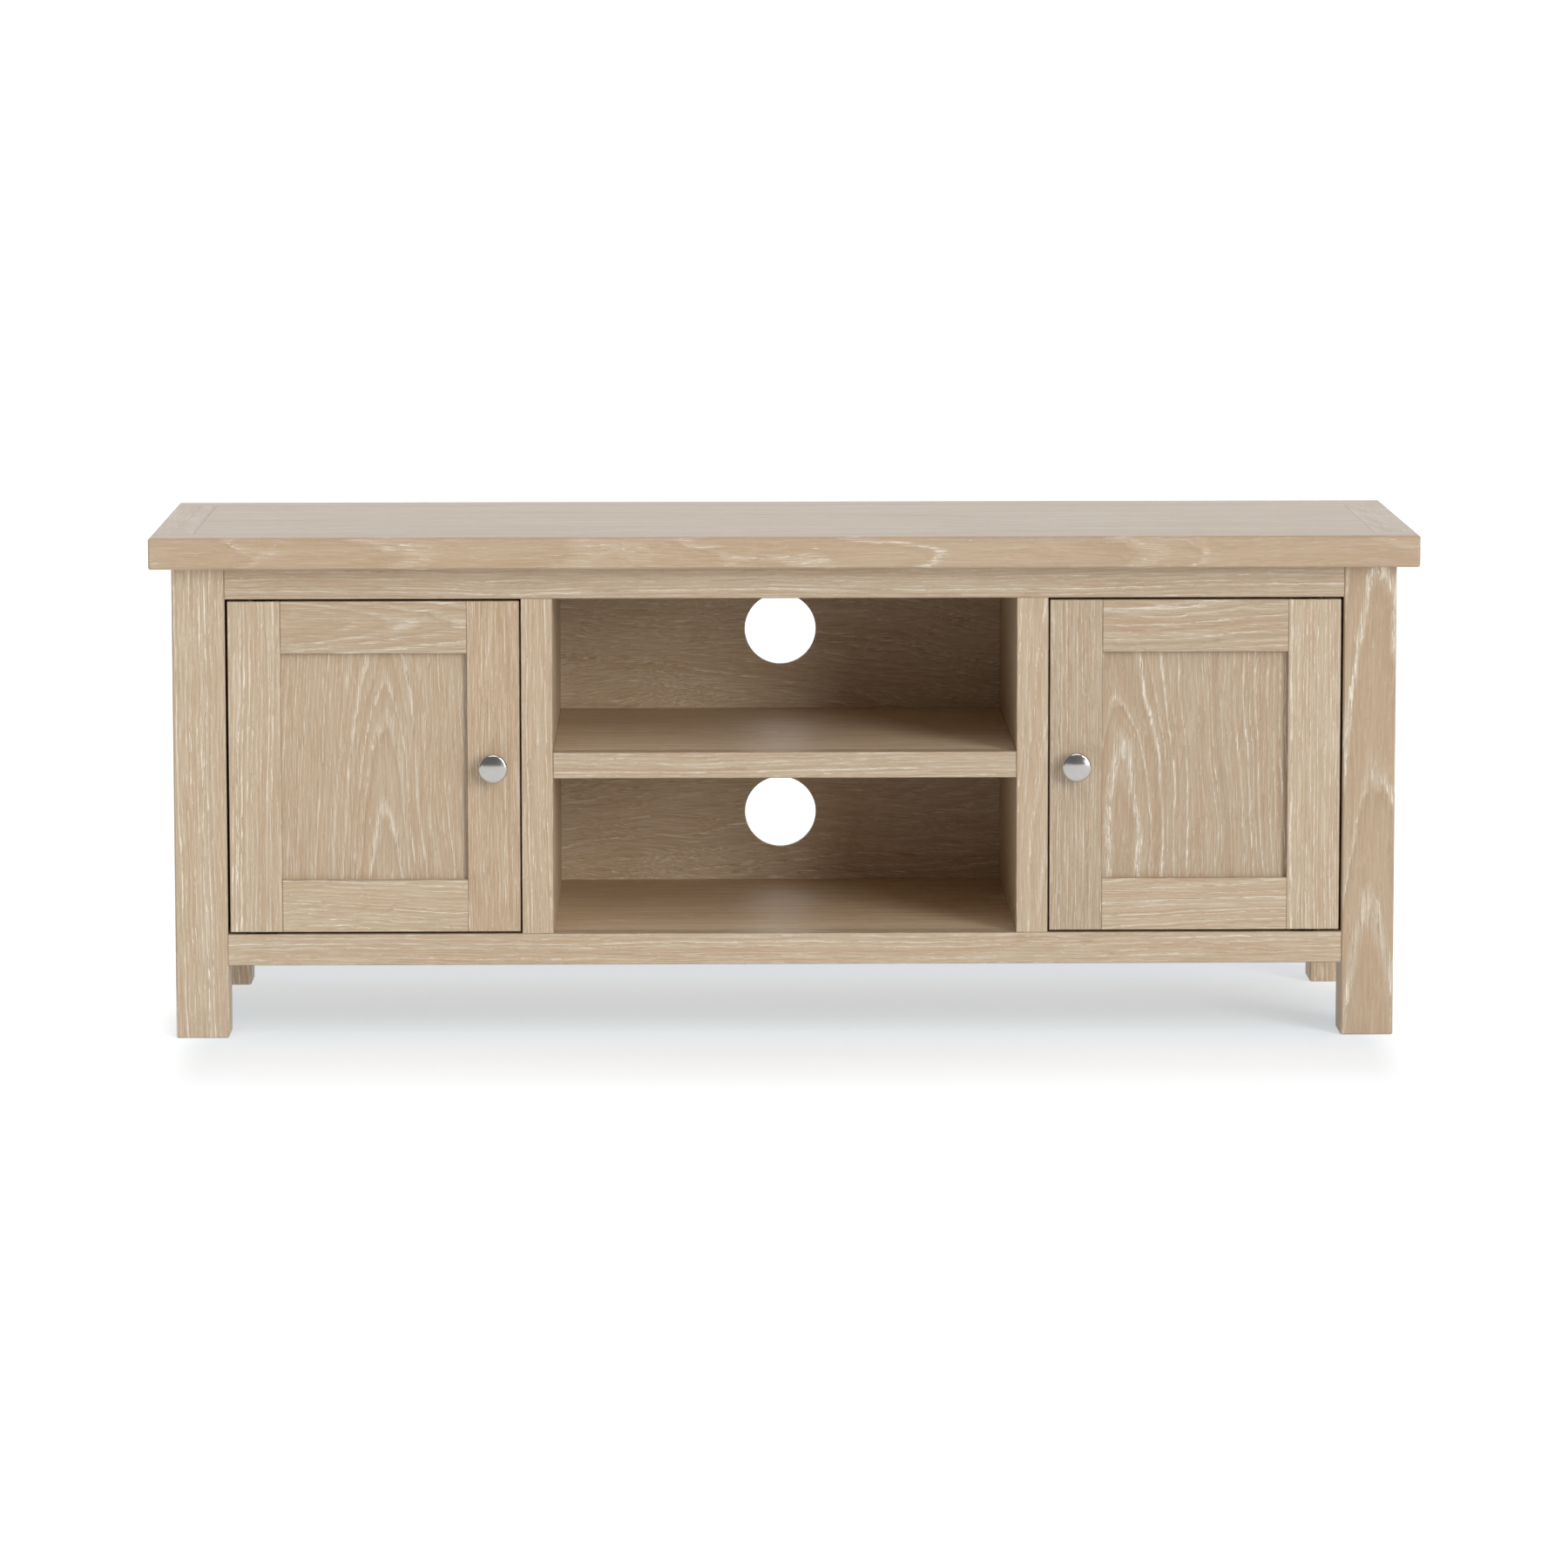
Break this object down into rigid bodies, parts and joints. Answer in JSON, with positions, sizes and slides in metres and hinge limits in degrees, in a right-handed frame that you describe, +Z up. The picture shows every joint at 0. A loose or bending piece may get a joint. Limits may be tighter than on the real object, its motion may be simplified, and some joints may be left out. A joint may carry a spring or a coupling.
{
  "type": "media cabinet",
  "caption": "Low oak media cabinet with a framed top, square legs, a framed door with a round knob at each end and an open bay with a shelf and cable holes between them.",
  "frame": {"origin": "on the floor, under the middle of the top's outline", "axes": "+X to the right along the length, +Y to the back, +Z up; the doors face -Y"},
  "size_m": [1.2, 0.4, 0.48],
  "materials": {
    "limed_oak_top": "limed oak, matt lacquer, grain along each board",
    "limed_oak_frame": "limed oak, matt lacquer, grain along each member",
    "limed_oak_door": "limed oak, matt lacquer, grain along each member",
    "limed_oak_panel": "limed oak, matt lacquer, upright cathedral grain",
    "limed_oak_inner": "limed oak veneer, matt lacquer",
    "bare_wood": "sanded, not lacquered",
    "polished_nickel": "polished nickel",
    "blackened_steel": "blackened steel",
    "zinc_steel": "bright zinc plate",
    "white_plastic": "moulded, fine texture",
    "grey_felt": "pressed felt"
  },
  "bodies": {
    "cabinet": {"top_centre_panel": "limed_oak_top", "top_front_strip": "limed_oak_top", "top_back_strip": "limed_oak_top", "top_left_end": "limed_oak_top", "top_right_end": "limed_oak_top", "front_left_leg": "limed_oak_frame", "front_right_leg": "limed_oak_frame", "rear_left_leg": "limed_oak_frame", "rear_right_leg": "limed_oak_frame", "front_top_rail": "limed_oak_frame", "front_bottom_rail": "limed_oak_frame", "left_stile": "limed_oak_frame", "right_stile": "limed_oak_frame", "rear_top_rail": "bare_wood", "rear_bottom_rail": "bare_wood", "left_side_top_rail": "limed_oak_frame", "left_side_bottom_rail": "limed_oak_frame", "left_side_panel": "limed_oak_panel", "right_side_top_rail": "limed_oak_frame", "right_side_bottom_rail": "limed_oak_frame", "right_side_panel": "limed_oak_panel", "base_panel": "limed_oak_inner", "left_partition": "limed_oak_inner", "right_partition": "limed_oak_inner", "shelf_board": "limed_oak_inner", "shelf_lipping": "limed_oak_frame", "carcass_dowels": "bare_wood", "back_panel": "limed_oak_inner", "back_panel_screws": "zinc_steel", "top_fixing_blocks": "bare_wood", "top_fixing_screws": "zinc_steel", "door_stops": "limed_oak_frame", "door_bumpers": "grey_felt", "catch_bodies": "white_plastic", "catch_magnets": "zinc_steel", "catch_screws": "zinc_steel", "frame_hinge_leaves": "blackened_steel", "frame_leaf_screws": "zinc_steel", "hinge_washers": "blackened_steel"},
    "left_door": {"left_door_hinge_stile": "limed_oak_door", "left_door_lock_stile": "limed_oak_door", "left_door_top_rail": "limed_oak_door", "left_door_bottom_rail": "limed_oak_door", "left_door_panel": "limed_oak_panel", "left_door_hinge_leaves": "blackened_steel", "left_door_leaf_screws": "zinc_steel", "left_strike_plate": "zinc_steel", "left_knob": "polished_nickel", "left_knob_screw": "zinc_steel"},
    "right_door": {"right_door_hinge_stile": "limed_oak_door", "right_door_lock_stile": "limed_oak_door", "right_door_top_rail": "limed_oak_door", "right_door_bottom_rail": "limed_oak_door", "right_door_panel": "limed_oak_panel", "right_door_hinge_leaves": "blackened_steel", "right_door_leaf_screws": "zinc_steel", "right_strike_plate": "zinc_steel", "right_knob": "polished_nickel", "right_knob_screw": "zinc_steel"}
  },
  "joints": [
    {"name": "left_door_hinge", "type": "hinge", "parent": "cabinet", "child": "left_door", "pos_m": [-0.5075, -0.171, 0.26], "axis": [0, 0, -1], "range_deg": [0, 110]},
    {"name": "right_door_hinge", "type": "hinge", "parent": "cabinet", "child": "right_door", "pos_m": [0.5075, -0.171, 0.26], "axis": [0, 0, 1], "range_deg": [0, 110]}
  ]
}
